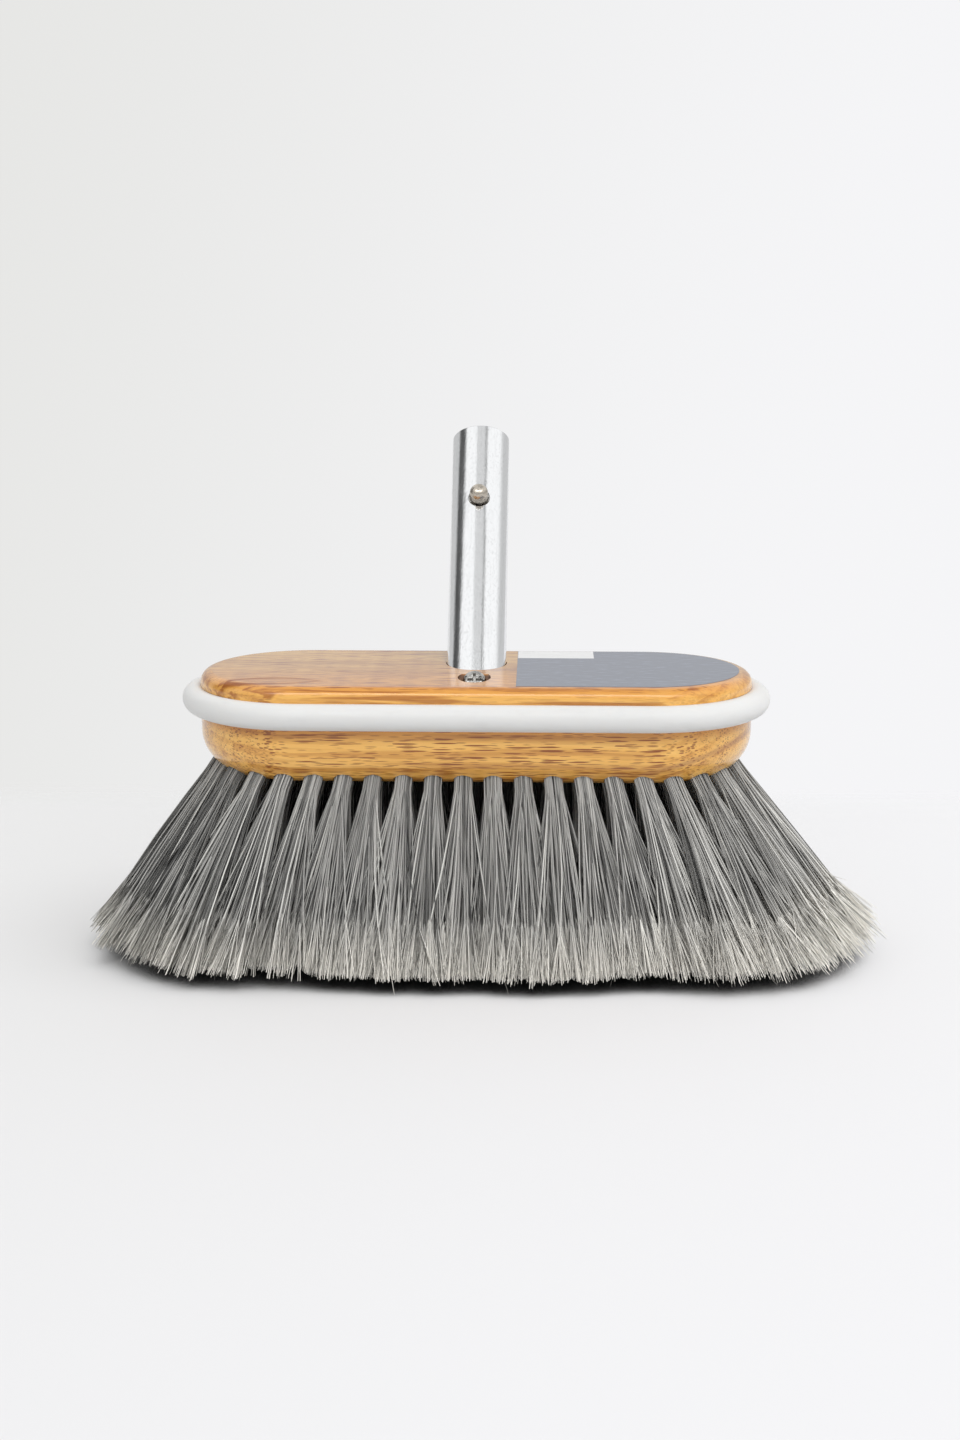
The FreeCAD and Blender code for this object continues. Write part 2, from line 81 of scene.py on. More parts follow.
def length(name, description, default):
    """A length that a user may change."""
    return FloatProperty(name=name, description=description, default=default, unit="LENGTH", precision=5)


def share(name, description, default):
    """A ratio that a user may change."""
    return FloatProperty(name=name, description=description, default=default, subtype="FACTOR")


def number(name, description, default):
    """A count that a user may change."""
    return IntProperty(name=name, description=description, default=default, min=0)


class BristleProps(bpy.types.PropertyGroup):
    """Sizes and colours of the bristles."""

    outer_count: number("Outer filaments", "Filaments in a tuft of the outer row", 150)
    middle_count: number("Middle filaments", "Filaments in a tuft of the middle row", 110)
    inner_count: number("Inner filaments", "Filaments in a tuft of the inner and centre rows", 90)
    flag_count: number("Flags", "Fine split ends on each filament of the outer row", 5)
    stray_count: number("Stray hairs", "Loose hairs on each tuft of the outer row", 2)
    radius: length("Filament radius", "Half the thickness of a filament", 0.0003)
    flag_radius: length("Flag radius", "Half the thickness of a split end", 0.00016)
    flag_splay: length("Flag splay", "How far split ends part at their tips", 0.0016)
    shoulder_tuck: length("Shoulder tuck", "How far the tips draw in at the shoulders", 0.011)
    shoulder_place: length("Shoulder place", "Where the shoulders are along the brush", 0.088)
    shoulder_width: length("Shoulder width", "How far along the brush the shoulders reach", 0.03)
    end_drift: length("End drift", "How far the tips at both ends lean to the right", 0.0017)
    end_pull: length("End pull", "How far the tips at both ends are drawn in", 0.0011)
    end_drop: length("End drop", "How much lower than the solids the tips at both ends reach", 0.0016)
    tip_lift: length("Tip lift", "How far the tips stand off the floor", 0.001)
    tip_uneven: length("Uneven tips", "How much the filaments differ in length", 0.006)
    wander: length("Wander", "How far a filament strays from its own line", 0.0013)
    stray: length("Scatter", "How far a filament's tip strays from its place in the tuft", 0.0036)
    stray_reach: length("Stray reach", "How far a loose hair stands off", 0.006)
    spread_share: share("Spread", "Width of the tips over the width of the solid's tip", 1.6)
    clump_share: share("Clumping", "How far filaments draw together towards their tips", 0.6)
    wild_share: share("Wild filaments", "Filaments whose tips stray more", 0.2)
    row_share: share("Row spread", "Spread of the tips along the row, over their spread across it", 1.2)
    outward_share: share("Outward spread", "Spread of the tips on the tuft's outer side", 0.75)
    lift_share: share("Lift", "Rise of a tip on the tuft's outer side, over its spread", 0.1)
    tuck_lift_share: share("Tuck lift", "Rise of the tips at the shoulders, over their tuck", 0.2)
    frizz_share: share("Frizz", "How much further the split ends part at the right end", 0.8)
    early_fade: share("Early fade", "How much sooner the filaments turn pale at the right end", 0.1)
    bow_share: share("Bow", "How much a filament keeps to the tuft's line before it bends", 0.35)
    shade_spread: share("Shade spread", "How much filaments differ in shade", 0.35)
    shade_slope: share("Shade slope", "How much paler the filaments are at the right end", 0.13)
    # Painted shade: the filaments at both ends are painted darker
    painted_end_shade: share("End shade", "How much darker the filaments are at both ends", 0.07)
    dark: colour("Dark grey", "Darkest filaments", (0.06, 0.06, 0.06))
    middle: colour("Middle grey", "Most filaments", (0.41, 0.405, 0.388))
    pale: colour("Pale grey", "Palest filaments", (0.78, 0.77, 0.73))
    tip_dark: colour("Dark tip", "Darkest split ends", (0.2, 0.195, 0.175))
    tip: colour("Tip", "Most split ends", (1.0, 0.97, 0.9))
    seed: number("Seed", "Start of the random draws", 11)


class WoodProps(bpy.types.PropertyGroup):
    """Colours of the varnished block."""

    pale: colour("Pale grain", "Early wood", (0.95, 0.585, 0.165))
    honey: colour("Honey grain", "Most of the wood", (0.87, 0.47, 0.1))
    deep: colour("Deep grain", "Late wood", (0.44, 0.155, 0.016))
    # The varnish colour also tints the painted shade line under the bumper
    varnish: colour("Varnish", "What the varnish leaves of the wood at the top's front", (0.73, 0.57, 0.36))
    thin_varnish: colour("Thin varnish", "The same at the top's back", (0.72, 0.73, 0.86))
    pore: colour("Pores", "Dashes and dots of the pores", (0.23, 0.05, 0.0))
    band: colour("Band", "Red-brown growth band at the lower edge", (0.40, 0.17, 0.055))
    # Painted shade inside the bores
    bore_shade: colour("Bore", "Bare wood inside the bores", (0.1, 0.045, 0.02))


class TrimProps(bpy.types.PropertyGroup):
    """Colours of the bumper, the metal pieces and the sticker."""

    vinyl: colour("Vinyl", "Bumper", (0.71, 0.71, 0.7))
    tube: colour("Tube", "Bright drawn tube", (0.86, 0.87, 0.88))
    nickel: colour("Nickel", "Snap button", (0.56, 0.51, 0.44))
    steel: colour("Steel", "Screw, spring and staples", (0.46, 0.45, 0.43))
    film: colour("Film", "Sticker", (0.186, 0.204, 0.248))
    panel: colour("Panel", "Blank panel on the sticker", (0.8, 0.8, 0.8))
    panel_width: length("Panel width", "Blank panel along the block", 0.033)
    panel_depth: length("Panel depth", "Blank panel from the sticker's back edge", 0.0165)


class StageProps(bpy.types.PropertyGroup):
    """The floor, the light and the camera."""

    floor_left: colour("Floor left", "Floor on the shaded side", (0.725, 0.725, 0.725))
    floor_right: colour("Floor right", "Floor on the bright side", (0.805, 0.805, 0.82))
    backdrop_left: colour("Backdrop left", "Backdrop on the shaded side", (0.79, 0.79, 0.775))
    backdrop_right: colour("Backdrop right", "Backdrop on the bright side", (0.915, 0.915, 0.93))
    floor_end: length("Floor end", "Where the floor fades into the backdrop", 0.25)
    room_light: share("Room light", "Level of the light from all round", 0.72)
    key_power: FloatProperty(name="Key power", description="Broad lamp high on the right", default=1.2)
    fill_power: FloatProperty(name="Fill power", description="Broad lamp in front", default=0.9)
    camera_place: FloatVectorProperty(
        name="Camera", description="Place of the camera", default=(0.02703, -0.8496, 0.2852), unit="LENGTH"
    )
    camera_turn: FloatVectorProperty(
        name="Camera turn",
        description="Rotation of the camera",
        default=(math.radians(77.67), 0.0, math.radians(1.7)),
        subtype="EULER",
    )
    lens: FloatProperty(name="Lens", description="Focal length in millimetres", default=50.93)


def add(tree, kind, sockets=None, **settings):
    """A new node with its settings made and its sockets set or linked."""
    node = tree.nodes.new(kind)
    for name, value in settings.items():
        setattr(node, name, value)
    for name, value in (sockets or {}).items():
        if isinstance(value, bpy.types.NodeSocket):
            tree.links.new(value, node.inputs[name])
        else:
            node.inputs[name].default_value = value
    return node


def rgba(value):
    """A colour with its alpha."""
    return (*value, 1.0)


def calc(tree, operation, first, second=0.0):
    """The result of one sum."""
    return add(tree, "ShaderNodeMath", {0: first, 1: second}, operation=operation).outputs[0]


def steps(tree, value, low, high, start=0.0, end=1.0):
    """A smooth rise from start to end while the value goes from low to high."""
    sockets = {"Value": value, "From Min": low, "From Max": high, "To Min": start, "To Max": end}
    return add(tree, "ShaderNodeMapRange", sockets, interpolation_type="SMOOTHSTEP").outputs["Result"]


def inside(tree, value, low, high, soft):
    """One between two limits, zero outside them."""
    return calc(tree, "MULTIPLY", steps(tree, value, low - soft, low), steps(tree, value, high + soft, high))


def blend(tree, amount, first, second, kind="MIX"):
    """Two colours mixed."""
    sockets = {0: amount, 6: first, 7: second}
    return add(tree, "ShaderNodeMix", sockets, data_type="RGBA", blend_type=kind).outputs[2]


def ramp(tree, amount, stops):
    """A colour picked from a row of stops."""
    node = add(tree, "ShaderNodeValToRGB", {0: amount})
    elements = node.color_ramp.elements
    while len(elements) < len(stops):
        elements.new(1.0)
    for element, (place, value) in zip(elements, stops):
        element.position = place
        element.color = rgba(value)
    return node.outputs[0]


def scaled(tree, vector, scale):
    """Coordinates stretched along their axes."""
    return add(tree, "ShaderNodeMapping", {"Vector": vector, "Scale": scale}).outputs[0]


def noise(tree, vector, scale=1.0, detail=2.0, roughness=0.5, swirl=0.0):
    """A cloudy value between zero and one."""
    sockets = {"Vector": vector, "Scale": scale, "Detail": detail}
    sockets.update({"Roughness": roughness, "Distortion": swirl})
    return add(tree, "ShaderNodeTexNoise", sockets).outputs[0]


def cells(tree, vector):
    """Distance to the nearest of scattered points, and that point's own random value."""
    node = add(tree, "ShaderNodeTexVoronoi", {"Vector": vector, "Scale": 1.0})
    pick = add(tree, "ShaderNodeSeparateColor", {0: node.outputs["Color"]}).outputs[0]
    return node.outputs["Distance"], pick


def bump(tree, height, strength, distance):
    """A surface normal from a height."""
    sockets = {"Height": height, "Strength": strength, "Distance": distance}
    return add(tree, "ShaderNodeBump", sockets).outputs[0]


def new_finish(name, **values):
    """A new material with its shader's plain values set, and its object coordinates."""
    material = bpy.data.materials.new(name)
    material.use_nodes = True
    tree = material.node_tree
    shader = tree.nodes["Principled BSDF"]
    for socket, value in values.items():
        shader.inputs[socket.replace("_", " ")].default_value = value
    place = add(tree, "ShaderNodeTexCoord").outputs["Object"]
    return material, tree, shader, place


def wire(tree, shader, **sockets):
    """Links values to a shader's sockets."""
    for name, value in sockets.items():
        tree.links.new(value, shader.inputs[name.replace("_", " ")])


def dress(node, material):
    """Gives a solid of the frame its finish."""
    solid = frame["nodes"][node]
    if not solid.material_slots:
        solid.data.materials.append(material)
    for slot in solid.material_slots:
        slot.material = material


# How often each pattern of the wood repeats in a metre: along the block, across it and up it
SWAY_SCALE = (9.0, 26.0, 26.0)
STREAK_SCALE = (14.0, 420.0, 420.0)
BROAD_SCALE = (7.0, 60.0, 60.0)
VEIN_SCALE = (16.0, 330.0, 330.0)
COARSE_PORE_SCALE = (70.0, 1150.0, 1150.0)
FINE_PORE_SCALE = (140.0, 1800.0, 1800.0)
# Growth bands: their pitch and sway, how much they arch, and where and how steeply they dip
BAND_PITCH = 0.0068
BAND_SWAY = 0.012
BAND_ARCH = 3.5
DIP_START = 0.068
DIP_SLOPE = 0.29
# The red-brown band's height and sway
RED_BAND_HEIGHT = 0.0875
RED_BAND_SWAY = 0.004
# The eye's shift and scale, which put its middle at zero and its points at one
EYE_SHIFT = (4.3, 4.3, 0.0)
EYE_SCALE = (52.0, 140.0, 1.0)
# How far round the screw the painted shade inside the bores reaches
BORE_SHADE_REACH = 0.022


def growth_bands(tree, x, y, z, sway):
    """How much late wood there is, and the height over the grain's dip at the right end."""
    past = calc(tree, "MAXIMUM", calc(tree, "SUBTRACT", x, DIP_START), 0.0)
    height = calc(tree, "SUBTRACT", z, calc(tree, "MULTIPLY", past, DIP_SLOPE))
    arch = calc(tree, "MULTIPLY", calc(tree, "MULTIPLY", y, y), BAND_ARCH)
    level = calc(tree, "ADD", height, arch)
    level = calc(tree, "ADD", level, calc(tree, "MULTIPLY", sway, BAND_SWAY))
    ring = calc(tree, "FRACT", calc(tree, "DIVIDE", level, BAND_PITCH))
    late = calc(tree, "MULTIPLY", steps(tree, ring, 0.35, 0.92), steps(tree, ring, 1.0, 0.93))
    return late, height


def eye_lines(tree, place, z, sway):
    """A pointed eye in the front left of the top: two nested lines, strongest at the left."""
    sockets = {"Vector": place, "Location": EYE_SHIFT, "Scale": EYE_SCALE}
    spot = add(tree, "ShaderNodeMapping", sockets).outputs[0]
    along, across, _ = add(tree, "ShaderNodeSeparateXYZ", {0: spot}).outputs
    bent = calc(tree, "ADD", across, calc(tree, "MULTIPLY", calc(tree, "SUBTRACT", sway, 0.5), 2.2))
    out = calc(tree, "ADD", calc(tree, "ABSOLUTE", bent), calc(tree, "MULTIPLY", along, along))
    outer = calc(tree, "ABSOLUTE", calc(tree, "SUBTRACT", out, 1.0))
    inner = calc(tree, "ABSOLUTE", calc(tree, "SUBTRACT", out, 0.4))
    eye = calc(tree, "MAXIMUM", steps(tree, outer, 0.3, 0.1), steps(tree, inner, 0.22, 0.05, 0.0, 0.4))
    eye = calc(tree, "MULTIPLY", eye, inside(tree, along, -1.1, 1.1, 0.7))
    eye = calc(tree, "MULTIPLY", eye, steps(tree, along, 0.8, -0.8, 0.6, 1.0))
    high = steps(tree, z, BLOCK_HIGH.z - 0.006, BLOCK_HIGH.z - 0.003, 0.0, 0.85)
    return calc(tree, "MULTIPLY", eye, high)


def wood_pores(tree, place, x, broad, edge):
    """Long coarse pores and short fine ones, fainter on the rounded edge and at the ends."""
    coarse, coarse_pick = cells(tree, scaled(tree, place, COARSE_PORE_SCALE))
    fine, fine_pick = cells(tree, scaled(tree, place, FINE_PORE_SCALE))
    coarse_pick = calc(tree, "ADD", coarse_pick, calc(tree, "MULTIPLY", broad, 0.8))
    coarse = calc(tree, "MULTIPLY", steps(tree, coarse, 0.46, 0.3), steps(tree, coarse_pick, 0.82, 0.7))
    fine = calc(tree, "MULTIPLY", steps(tree, fine, 0.44, 0.26), steps(tree, fine_pick, 0.65, 0.55))
    pore = calc(tree, "MAXIMUM", coarse, calc(tree, "MULTIPLY", fine, 0.75))
    pore = calc(tree, "MULTIPLY", pore, steps(tree, edge, 0.0, 1.0, 0.95, 0.3))
    return calc(tree, "MULTIPLY", pore, steps(tree, calc(tree, "ABSOLUTE", x), 0.08, 0.1, 1.0, 0.75))


def painted_bore_shade(tree, place, y, z):
    """Where shade is painted on the wood inside the bores of the tube and the screw."""
    off = add(tree, "ShaderNodeVectorMath", {0: place, 1: SCREW_MIDDLE}, operation="SUBTRACT").outputs[0]
    level = scaled(tree, off, (1.0, 1.0, 0.0))
    near = add(tree, "ShaderNodeVectorMath", {0: level}, operation="LENGTH").outputs["Value"]
    depth = steps(tree, z, BLOCK_HIGH.z - 0.0001, BLOCK_HIGH.z - 0.0006)
    sunk = calc(tree, "MULTIPLY", steps(tree, near, BORE_SHADE_REACH + 0.002, BORE_SHADE_REACH), depth)
    front = steps(tree, y, BLOCK_LOW.y + 0.008, BLOCK_LOW.y + 0.012)
    return calc(tree, "MULTIPLY", calc(tree, "MULTIPLY", sunk, front), 0.9)


def varnished_wood(props):
    """Honey wood: growth bands, pores that are dashes along it and dots at its ends, clear varnish."""
    material, tree, shader, place = new_finish(
        "varnished_wood", Coat_Roughness=0.1, Coat_IOR=1.5, Specular_IOR_Level=0.3
    )
    x, y, z = add(tree, "ShaderNodeSeparateXYZ", {0: place}).outputs
    sway = noise(tree, scaled(tree, place, SWAY_SCALE), detail=3.0)
    streak = noise(tree, scaled(tree, place, STREAK_SCALE), detail=4.0, roughness=0.6)
    broad = noise(tree, scaled(tree, place, BROAD_SCALE), detail=2.0)
    late, height = growth_bands(tree, x, y, z, sway)
    tone = calc(tree, "ADD", calc(tree, "MULTIPLY", streak, 0.62), calc(tree, "MULTIPLY", broad, 0.38))
    tone = calc(tree, "SUBTRACT", tone, calc(tree, "MULTIPLY", late, 0.13))
    grain = ramp(tree, tone, [(0.18, props.deep), (0.45, props.honey), (0.72, props.pale)])
    # Dark veins along the grain, strongest on the rounded edge above the bumper
    vein = noise(tree, scaled(tree, place, VEIN_SCALE), detail=3.0, swirl=0.5)
    vein = steps(tree, vein, 0.48, 0.62)
    edge = inside(tree, z, BLOCK_HIGH.z - 0.012, BLOCK_HIGH.z - 0.0015, 0.001)
    vein = calc(tree, "MULTIPLY", vein, steps(tree, edge, 0.0, 1.0, 0.3, 0.85))
    vein = calc(tree, "MULTIPLY", vein, steps(tree, x, 0.06, 0.1, 1.0, 0.4))
    grain = blend(tree, vein, grain, rgba(props.deep))
    # Red-brown band near the lower edge
    height = calc(tree, "ADD", height, calc(tree, "MULTIPLY", sway, RED_BAND_SWAY))
    line = calc(tree, "ABSOLUTE", calc(tree, "SUBTRACT", height, RED_BAND_HEIGHT))
    band = calc(tree, "MULTIPLY", steps(tree, line, 0.002, 0.0003), steps(tree, x, 0.03, 0.085, 0.15, 0.6))
    grain = blend(tree, band, grain, rgba(props.band))
    # Varnish darkens the top, most at its front, and a painted shade line lies under the bumper, drawn with
    # the same tints
    above = steps(tree, z, BLOCK_HIGH.z - 0.006, BLOCK_HIGH.z - 0.0003, 0.05, 1.0)
    painted_shade_under_bumper = steps(tree, z, BUMPER_LOW.z - 0.006, BUMPER_LOW.z - 0.001)
    painted_shade_under_bumper = calc(tree, "MULTIPLY", painted_shade_under_bumper, steps(tree, z, BUMPER_HIGH.z, BUMPER_LOW.z))
    varnish_and_painted_shade = blend(tree, steps(tree, y, -0.034, 0.01), rgba(props.varnish), rgba(props.thin_varnish))
    grain = blend(tree, calc(tree, "MAXIMUM", above, painted_shade_under_bumper), grain, varnish_and_painted_shade, "MULTIPLY")
    eye = eye_lines(tree, place, z, sway)
    grain = blend(tree, eye, grain, rgba(props.pore))
    pore = wood_pores(tree, place, x, broad, edge)
    wood = blend(tree, pore, grain, rgba(props.pore))
    # Painted shade darkens the wood inside the bores
    wood = blend(tree, painted_bore_shade(tree, place, y, z), wood, rgba(props.bore_shade))
    relief = calc(tree, "SUBTRACT", streak, calc(tree, "MULTIPLY", pore, 0.5))
    wire(
        tree,
        shader,
        Base_Color=wood,
        Roughness=calc(tree, "ADD", calc(tree, "MULTIPLY", streak, 0.2), 0.32),
        Coat_Weight=calc(tree, "SUBTRACT", 1.0, calc(tree, "MULTIPLY", eye, 0.8)),
        Normal=bump(tree, relief, 0.12, 0.0002),
    )
    return material


def white_vinyl(props):
    """Soft white vinyl with faint handling marks."""
    material, tree, shader, place = new_finish(
        "white_vinyl", Subsurface_Weight=0.4, Subsurface_Radius=(0.005, 0.0045, 0.004), Specular_IOR_Level=0.3
    )
    marks = noise(tree, scaled(tree, place, (60.0, 60.0, 160.0)), detail=4.0, roughness=0.6)
    peel = noise(tree, place, scale=900.0, detail=1.0)
    dusty = tuple(part * 0.93 for part in props.vinyl)
    skin = blend(tree, steps(tree, marks, 0.52, 0.75, 0.0, 0.7), rgba(props.vinyl), rgba(dusty))
    wire(
        tree,
        shader,
        Base_Color=skin,
        Roughness=steps(tree, marks, 0.3, 0.7, 0.34, 0.48),
        Normal=bump(tree, peel, 0.06, 0.0002),
    )
    return material


def drawn_tube(props):
    """Bright tube with fine lines and smears along it."""
    material, tree, shader, place = new_finish("drawn_tube", Metallic=1.0)
    turned = add(tree, "ShaderNodeMapping", {"Vector": place, "Rotation": (TUBE_TILT, 0.0, 0.0)}).outputs[0]
    lines = noise(tree, scaled(tree, turned, (2600.0, 2600.0, 24.0)), detail=3.0, roughness=0.6)
    smears = noise(tree, scaled(tree, turned, (700.0, 700.0, 90.0)), detail=4.0, roughness=0.65)
    mottle = noise(tree, scaled(tree, turned, (1100.0, 1100.0, 600.0)), detail=3.0, roughness=0.6)
    dull = tuple(part * 0.9 for part in props.tube)
    marks = calc(tree, "MAXIMUM", steps(tree, smears, 0.45, 0.72, 0.0, 0.6), steps(tree, mottle, 0.5, 0.7))
    skin = blend(tree, marks, rgba(props.tube), rgba(dull))
    dulled = steps(tree, smears, 0.35, 0.75, 0.07, 0.16)
    rough = calc(tree, "ADD", dulled, calc(tree, "MULTIPLY", lines, 0.05))
    height = calc(tree, "ADD", calc(tree, "MULTIPLY", lines, 0.6), calc(tree, "ADD", smears, mottle))
    wire(tree, shader, Base_Color=skin, Roughness=rough, Normal=bump(tree, height, 0.2, 0.00015))
    return material


def plated_nickel(props):
    """Warm plated button with small scuffs."""
    material, tree, shader, place = new_finish("plated_nickel", Metallic=1.0)
    scuffs = noise(tree, scaled(tree, place, (500.0, 500.0, 1400.0)), detail=4.0, roughness=0.65)
    worn = tuple(part * 0.6 for part in props.nickel)
    skin = blend(tree, steps(tree, scuffs, 0.45, 0.7), rgba(props.nickel), rgba(worn))
    wire(
        tree,
        shader,
        Base_Color=skin,
        Roughness=steps(tree, scuffs, 0.3, 0.7, 0.22, 0.36),
        Normal=bump(tree, scuffs, 0.08, 0.0001),
    )
    return material


def plain_steel(props):
    """Zinc-bright steel with turning marks and grime."""
    material, tree, shader, place = new_finish("plain_steel", Metallic=1.0)
    grime = noise(tree, place, scale=420.0, detail=4.0, roughness=0.65)
    fine = noise(tree, place, scale=2600.0, detail=2.0)
    dark = tuple(part * 0.1 for part in props.steel)
    skin = blend(tree, steps(tree, grime, 0.5, 0.64), rgba(props.steel), rgba(dark))
    wire(
        tree,
        shader,
        Base_Color=skin,
        Roughness=steps(tree, grime, 0.3, 0.7, 0.2, 0.42),
        Normal=bump(tree, fine, 0.08, 0.0001),
    )
    return material


def sticker_film(props):
    """Charcoal film with a blank white panel, satin and lightly scuffed."""
    material, tree, shader, place = new_finish("sticker_film", Specular_IOR_Level=0.5)
    x, y, _ = add(tree, "ShaderNodeSeparateXYZ", {0: place}).outputs
    scuffs = noise(tree, scaled(tree, place, (160.0, 420.0, 1.0)), detail=4.0, roughness=0.6)
    fibre = noise(tree, place, scale=1500.0, detail=2.0)
    rubbed = tuple(part * 1.25 for part in props.film)
    film = blend(tree, steps(tree, scuffs, 0.5, 0.75), rgba(props.film), rgba(rubbed))
    edge = 0.0003
    wide = inside(tree, x, LABEL_LOW.x + edge, LABEL_LOW.x + props.panel_width, edge)
    deep = inside(tree, y, LABEL_HIGH.y - props.panel_depth, LABEL_HIGH.y - edge, edge)
    film = blend(tree, calc(tree, "MULTIPLY", wide, deep), film, rgba(props.panel))
    wire(
        tree,
        shader,
        Base_Color=film,
        Roughness=steps(tree, scuffs, 0.3, 0.7, 0.16, 0.26),
        Normal=bump(tree, fibre, 0.01, 0.0001),
    )
    return material


def grey_bristle(props):
    """Grey filament, dark to pale, with cream split ends."""
    material, tree, shader, _ = new_finish("grey_bristle", Roughness=0.48, Specular_IOR_Level=0.28)
    strand = add(tree, "ShaderNodeUVMap", uv_map=STRAND_MAP).outputs[0]
    shade, way, _ = add(tree, "ShaderNodeSeparateXYZ", {0: strand}).outputs
    # Filaments look more alike near their roots
    calm = calc(tree, "MULTIPLY", calc(tree, "SUBTRACT", shade, 0.5), steps(tree, way, 0.0, 0.5, 0.7, 1.0))
    shade = calc(tree, "ADD", calm, 0.5)
    stops = [(0.0, props.dark), (0.45, props.middle), (0.7, props.middle), (1.0, props.pale)]
    greys = ramp(tree, shade, stops)
    start = noise(tree, scaled(tree, strand, (60.0, 0.0, 0.0)), detail=1.0)
    fade = calc(tree, "ADD", way, calc(tree, "MULTIPLY", calc(tree, "SUBTRACT", start, 0.5), 0.35))
    ends = ramp(tree, shade, [(0.0, props.tip_dark), (0.7, props.tip)])
    wire(tree, shader, Base_Color=blend(tree, steps(tree, fade, 0.64, 1.02), greys, ends))
    return material


def middle_of(points):
    """The middle of the box round some points."""
    return (points.min(axis=0) + points.max(axis=0)) / 2


# How far apart the points of one ring of a tuft may be along it
RING_DEPTH = 0.002
Tuft = namedtuple("Tuft", "neck upward radius tip reach shank")


def tuft_places(node):
    """Each tuft of a node, read from its solid: where it leaves the block and where its tip is."""
    mesh = bmesh.new()
    mesh.from_mesh(frame["nodes"][node].data)
    bmesh.ops.remove_doubles(mesh, verts=mesh.verts, dist=1e-6)
    unseen = set(mesh.verts)
    tufts = []
    while unseen:
        island = []
        edge_of_search = [unseen.pop()]
        while edge_of_search:
            vert = edge_of_search.pop()
            island.append(tuple(vert.co))
            near = {edge.other_vert(vert) for edge in vert.link_edges} & unseen
            unseen -= near
            edge_of_search.extend(near)
        points = np.array(island)
        level = points[:, 2] < points[:, 2].min() + 1e-4
        tip = middle_of(points[level])
        reach = np.ptp(points[level], axis=0)[:2] / 2
        # The buried end's ring comes first down the tuft, then the neck's ring after a bare stretch
        lean = points.mean(axis=0) - tip
        run = (points - tip) @ lean / np.linalg.norm(lean)
        buried = run > run.max() - RING_DEPTH
        ring, ring_run = points[~buried], run[~buried]
        top = middle_of(points[buried])
        neck = middle_of(ring[ring_run > ring_run.max() - RING_DEPTH])
        shank = np.linalg.norm(top - neck)
        radius = np.linalg.norm(points[buried] - top, axis=1).max()
        tufts.append(Tuft(neck, (top - neck) / shank, radius, tip, reach, shank))
    mesh.free()
    return sorted(tufts, key=lambda tuft: tuple(tuft.tip.round(4)))


# Where a filament's points are, as shares of the way from its neck to its tip
WAY_SHARES = np.array([0.0, 0.2, 0.45, 0.7, 0.88, 1.0])
FLAG_WAY_SHARES = np.array([0.7, 1.0])
STRAY_WAY_SHARES = np.linspace(0.7, 1.0, 5)
# How thick a strand is at its points, over its usual thickness
FILAMENT_SHARES = np.array([1.0, 1.0, 1.0, 1.0, 0.95, 0.8, 0.4])
FLAG_SHARES = np.array([1.0, 0.6])
STRAY_SHARES = np.array([1.2, 1.2, 1.1, 1.0, 0.4])
LOCKS_IN_TUFT = 9
# How much further wild filaments stray
WILD_FACTOR = 2.2
# How far beyond the solid's tip a filament's tip may go, over the solid's own reach
OUTER_REACH_SHARE = 1.2
# How deep in its hole a filament starts, over the hole's depth
ROOT_DEPTH_SHARE = 0.6
# Loose hairs at the right end, over those elsewhere
RIGHT_END_STRAYS = 3
# The largest random offset, over the usual one
SCATTER_LIMIT = 1.8


def unit_disc(rng, count):
    """Points spread evenly over a disc of radius one."""
    far = np.sqrt(rng.random(count))
    turn = rng.random(count) * 2 * np.pi
    return np.stack([far * np.cos(turn), far * np.sin(turn)], axis=1)


def scatter(rng, size, shape):
    """Random offsets, mostly small, none far beyond their usual size."""
    return np.clip(rng.normal(0, 1, shape), -SCATTER_LIMIT, SCATTER_LIMIT) * size


def lengths_of(vectors):
    """The length of each vector, as a column."""
    return np.linalg.norm(vectors, axis=1)[:, None]


def bent_lines(starts, bends, ends, shares):
    """Curves from starts to ends, drawn towards bends, at some shares of the way."""
    way = shares[None, :, None]
    return starts[:, None] * (1 - way) ** 2 + bends[:, None] * 2 * way * (1 - way) + ends[:, None] * way ** 2


